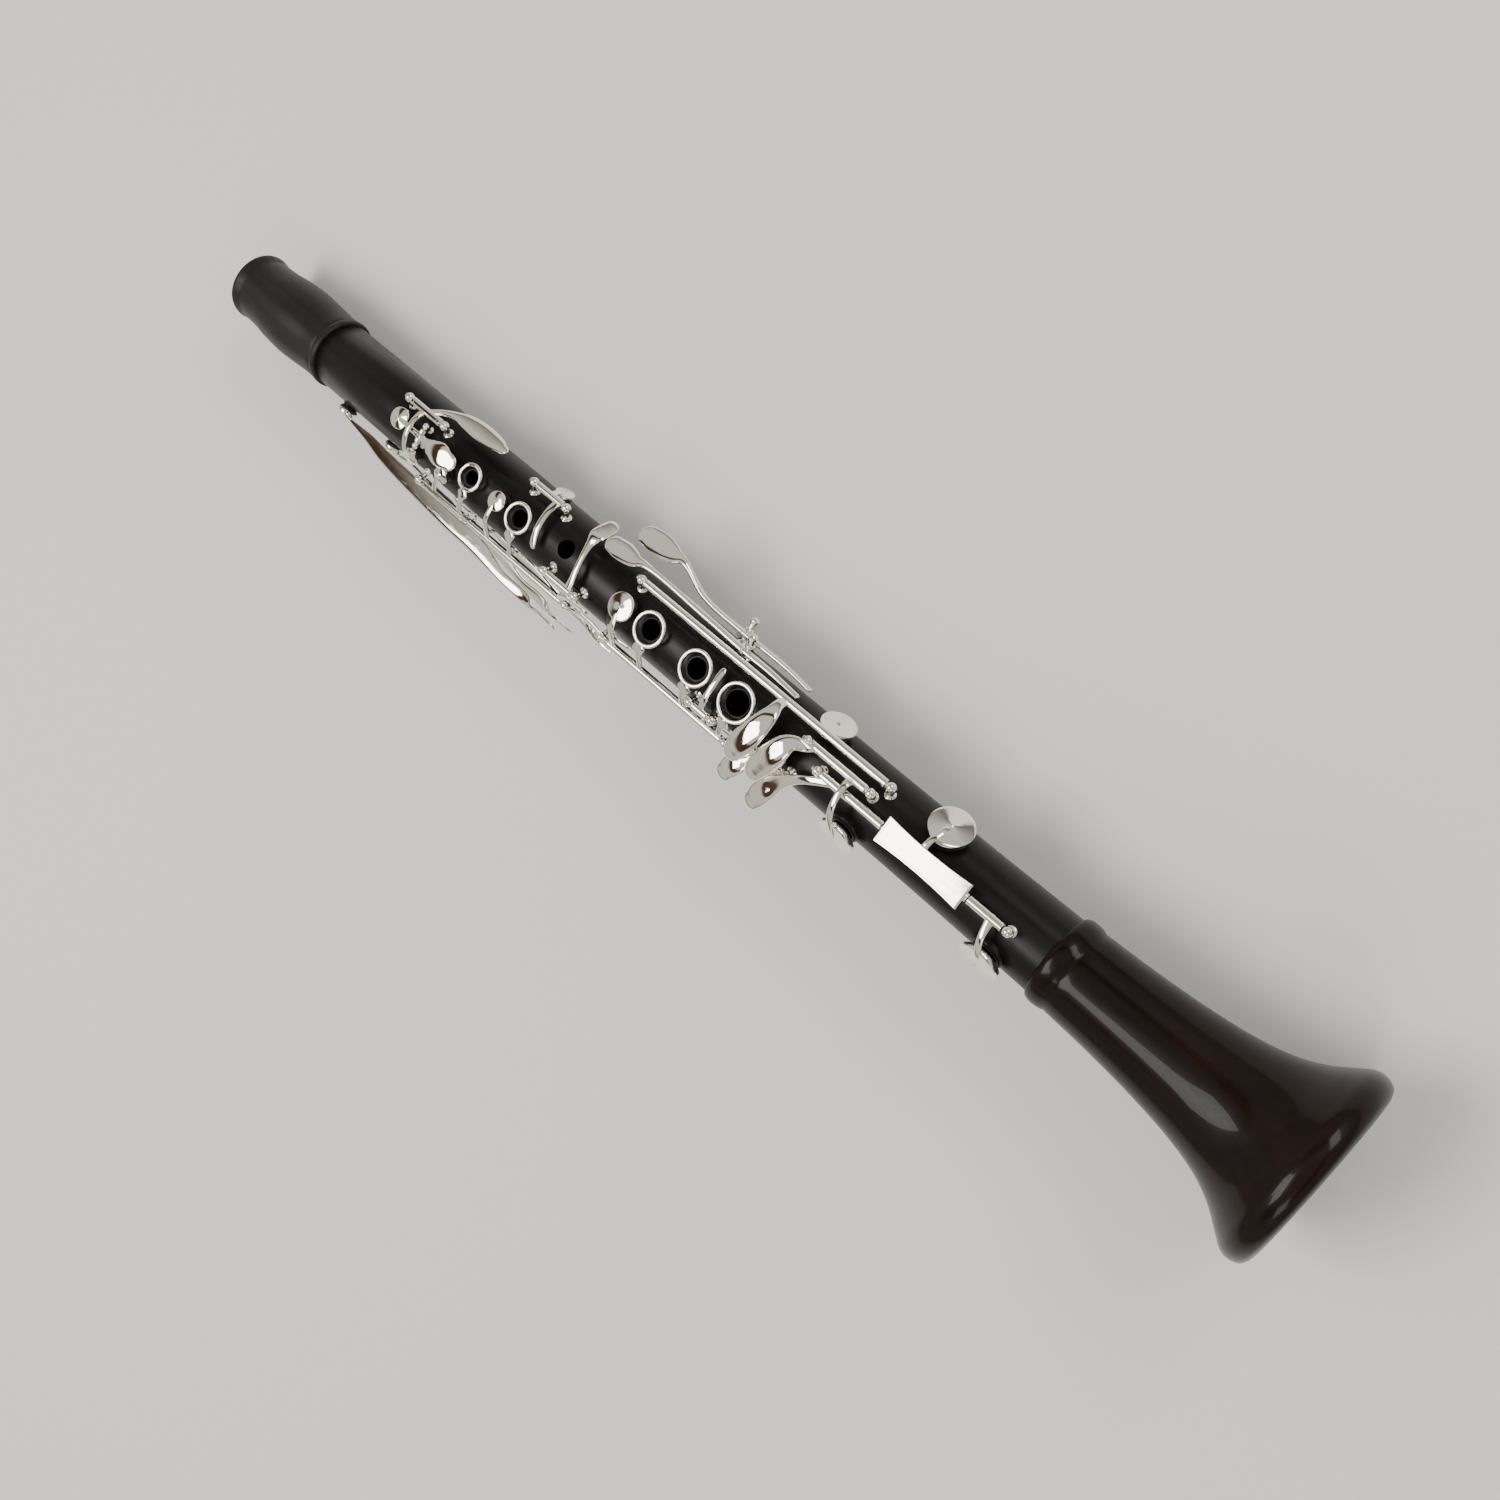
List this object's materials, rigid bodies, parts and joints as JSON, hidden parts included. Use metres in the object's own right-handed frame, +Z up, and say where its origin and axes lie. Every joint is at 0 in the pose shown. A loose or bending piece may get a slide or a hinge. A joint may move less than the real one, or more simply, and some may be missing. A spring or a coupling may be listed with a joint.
{
  "type": "clarinet",
  "caption": "Soprano clarinet without its mouthpiece: dark wooden body with a flared bell and moving silver ring keys, levers and padded cups.",
  "frame": {"origin": "centre of the bounding box at the level it lies on", "axes": "+X along the length from the bell towards the barrel, +Z up, out of the finger holes; +Y the player's right. It lies on its back, on the bell rim and the thumb rest."},
  "size_m": [0.5962, 0.0806, 0.0805],
  "materials": {
    "joint_wood": "satin oiled blackwood, fine straight grain",
    "barrel_wood": "satin oiled blackwood, slightly greyer",
    "bell_wood": "polished dark reddish blackwood",
    "silver": "polished silver plate",
    "steel": "fine turned steel",
    "blued_steel": "blued spring steel",
    "pad_skin": "matte dark pad skin",
    "cork": "natural cork"
  },
  "bodies": {
    "body": {"bell": "bell_wood", "lower_joint": "joint_wood", "upper_joint": "joint_wood", "barrel": "barrel_wood", "tenon_corks": "cork", "register_tube": "silver", "thumb_tube": "silver", "upper_posts": "silver", "lower_posts": "silver", "upper_rods": "steel", "lower_rods": "steel", "needle_springs": "blued_steel", "thumb_rest": "silver", "thumb_rest_screws": "steel"},
    "register_key": {"register_key": "silver", "register_pad": "pad_skin"},
    "throat_a_key": {"throat_a_key": "silver", "throat_a_pad": "pad_skin"},
    "throat_g_sharp_key": {"throat_g_sharp_key": "silver", "throat_g_sharp_pad": "pad_skin"},
    "thumb_ring_key": {"thumb_ring_key": "silver"},
    "first_ring_key": {"first_ring_key": "silver", "first_ring_pad": "pad_skin"},
    "second_ring_key": {"second_ring_key": "silver", "second_ring_pad": "pad_skin"},
    "upper_sliver_key": {"upper_sliver_key": "silver", "upper_sliver_pad": "pad_skin"},
    "c_sharp_key": {"c_sharp_key": "silver", "c_sharp_pad": "pad_skin"},
    "trill_1_key": {"trill_1_key": "silver", "trill_1_pad": "pad_skin"},
    "trill_2_key": {"trill_2_key": "silver", "trill_2_pad": "pad_skin"},
    "trill_3_key": {"trill_3_key": "silver", "trill_3_pad": "pad_skin"},
    "trill_4_key": {"trill_4_key": "silver", "trill_4_pad": "pad_skin"},
    "right_ring_key": {"right_ring_key": "silver", "right_ring_pad": "pad_skin"},
    "lower_sliver_key": {"lower_sliver_key": "silver", "lower_sliver_pad": "pad_skin"},
    "a_flat_key": {"a_flat_key": "silver", "a_flat_pad": "pad_skin"},
    "f_sharp_key": {"f_sharp_key": "silver", "f_sharp_pad": "pad_skin"},
    "e_key": {"e_key": "silver", "e_pad": "pad_skin"},
    "f_touch_key": {"f_touch_key": "silver"},
    "f_key": {"f_key": "silver", "f_pad": "pad_skin"},
    "left_e_lever": {"left_e_lever": "silver"},
    "left_f_sharp_lever": {"left_f_sharp_lever": "silver"}
  },
  "joints": [
    {"name": "register_pivot", "type": "hinge", "parent": "body", "child": "register_key", "pos_m": [0.19916, 0, 0.00728], "axis": [0, 1, 0], "range_deg": [0, 6], "stiffness_Nm_per_rad": 0.05, "springref_deg": -20.05},
    {"name": "throat_a_pivot", "type": "hinge", "parent": "body", "child": "throat_a_key", "pos_m": [0.15929, 0, 0.04578], "axis": [0, -1, 0], "range_deg": [0, 6], "stiffness_Nm_per_rad": 0.05, "springref_deg": -20.05},
    {"name": "throat_g_sharp_pivot", "type": "hinge", "parent": "body", "child": "throat_g_sharp_key", "pos_m": [0.16327, -0.00976, 0.04513], "axis": [0.9996, 0, -0.0297], "range_deg": [0, 6], "stiffness_Nm_per_rad": 0.05, "springref_deg": -20.05},
    {"name": "thumb_ring_pivot", "type": "hinge", "parent": "body", "child": "thumb_ring_key", "pos_m": [0.15919, 0.0104, 0.00886], "axis": [-0.9996, 0, 0.0297], "range_deg": [0, 3.5], "stiffness_Nm_per_rad": 0.05, "springref_deg": -20.05},
    {"name": "first_ring_pivot", "type": "hinge", "parent": "body", "child": "first_ring_key", "pos_m": [0.13809, 0.017, 0.0395], "axis": [0.9996, 0, -0.0297], "range_deg": [0, 3.5], "stiffness_Nm_per_rad": 0.05, "springref_deg": -20.05},
    {"name": "second_ring_pivot", "type": "hinge", "parent": "body", "child": "second_ring_key", "pos_m": [0.09311, 0.017, 0.04084], "axis": [0.9996, 0, -0.0297], "range_deg": [0, 4], "stiffness_Nm_per_rad": 0.05, "springref_deg": -20.05},
    {"name": "upper_sliver_pivot", "type": "hinge", "parent": "body", "child": "upper_sliver_key", "pos_m": [0.09118, -0.01506, 0.04325], "axis": [-0.9996, 0, 0.0297], "range_deg": [0, 5], "stiffness_Nm_per_rad": 0.05, "springref_deg": -20.05},
    {"name": "c_sharp_pivot", "type": "hinge", "parent": "body", "child": "c_sharp_key", "pos_m": [0.06331, 0.00986, 0.04805], "axis": [0.9996, 0, -0.0297], "range_deg": [0, 4], "stiffness_Nm_per_rad": 0.05, "springref_deg": -20.05},
    {"name": "trill_1_pivot", "type": "hinge", "parent": "body", "child": "trill_1_key", "pos_m": [0.1278, 0.01949, 0.02986], "axis": [0.0296, -0.1045, 0.9941], "range_deg": [0, 1.9], "stiffness_Nm_per_rad": 0.05, "springref_deg": -20.05},
    {"name": "trill_2_pivot", "type": "hinge", "parent": "body", "child": "trill_2_key", "pos_m": [0.12063, 0.01924, 0.02428], "axis": [0.0292, 0.1908, 0.9812], "range_deg": [0, 1.6], "stiffness_Nm_per_rad": 0.05, "springref_deg": -20.05},
    {"name": "trill_3_pivot", "type": "hinge", "parent": "body", "child": "trill_3_key", "pos_m": [0.10449, 0.01762, 0.01991], "axis": [0.0267, 0.4384, 0.8984], "range_deg": [0, 2.6], "stiffness_Nm_per_rad": 0.05, "springref_deg": -20.05},
    {"name": "trill_4_pivot", "type": "hinge", "parent": "body", "child": "trill_4_key", "pos_m": [0.07437, 0.01457, 0.01628], "axis": [0.0221, 0.6691, 0.7428], "range_deg": [0, 3.5], "stiffness_Nm_per_rad": 0.05, "springref_deg": -20.05},
    {"name": "right_ring_pivot", "type": "hinge", "parent": "body", "child": "right_ring_key", "pos_m": [0.00315, 0.017, 0.04352], "axis": [0.9996, 0, -0.0297], "range_deg": [0, 4], "stiffness_Nm_per_rad": 0.05, "springref_deg": -20.05},
    {"name": "lower_sliver_pivot", "type": "hinge", "parent": "body", "child": "lower_sliver_key", "pos_m": [-0.0207, 0.01223, 0.04907], "axis": [0.9996, 0, -0.0297], "range_deg": [0, 4], "stiffness_Nm_per_rad": 0.05, "springref_deg": -20.05},
    {"name": "a_flat_pivot", "type": "hinge", "parent": "body", "child": "a_flat_key", "pos_m": [-0.0367, -0.01286, 0.04906], "axis": [-0.9996, 0, 0.0297], "range_deg": [0, 6], "stiffness_Nm_per_rad": 0.05, "springref_deg": -20.05},
    {"name": "f_sharp_pivot", "type": "hinge", "parent": "body", "child": "f_sharp_key", "pos_m": [-0.08159, -0.00701, 0.05363], "axis": [-0.9996, 0, 0.0297], "range_deg": [0, 4], "stiffness_Nm_per_rad": 0.05, "springref_deg": -20.05},
    {"name": "e_pivot", "type": "hinge", "parent": "body", "child": "e_key", "pos_m": [-0.12153, -0.00083, 0.05602], "axis": [-0.9996, 0, 0.0297], "range_deg": [0, 4.6], "stiffness_Nm_per_rad": 0.05, "springref_deg": -20.05},
    {"name": "f_touch_pivot", "type": "hinge", "parent": "body", "child": "f_touch_key", "pos_m": [-0.05369, 0.0095, 0.04967], "axis": [-0.9996, 0, 0.0297], "range_deg": [0, 5], "stiffness_Nm_per_rad": 0.05, "springref_deg": -20.05},
    {"name": "f_pivot", "type": "hinge", "parent": "body", "child": "f_key", "pos_m": [-0.12953, -0.00083, 0.05626], "axis": [0.9996, 0, -0.0297], "range_deg": [0, 5], "stiffness_Nm_per_rad": 0.05, "springref_deg": -20.05},
    {"name": "left_e_pivot", "type": "hinge", "parent": "body", "child": "left_e_lever", "pos_m": [-0.01202, -0.01946, 0.03811], "axis": [0.0284, 0.3007, 0.9533], "range_deg": [0, 2.7], "stiffness_Nm_per_rad": 0.05, "springref_deg": -20.05},
    {"name": "left_f_sharp_pivot", "type": "hinge", "parent": "body", "child": "left_f_sharp_lever", "pos_m": [-0.01982, -0.01585, 0.04505], "axis": [0.0231, 0.6293, 0.7768], "range_deg": [0, 2.7], "stiffness_Nm_per_rad": 0.05, "springref_deg": -20.05}
  ],
  "couplings": [
    {"joint": "second_ring_pivot", "follows": "right_ring_pivot", "ratio": 1},
    {"joint": "f_pivot", "follows": "f_touch_pivot", "ratio": 1},
    {"joint": "left_e_pivot", "follows": "e_pivot", "ratio": 0.4},
    {"joint": "left_f_sharp_pivot", "follows": "f_sharp_pivot", "ratio": 0.6}
  ]
}
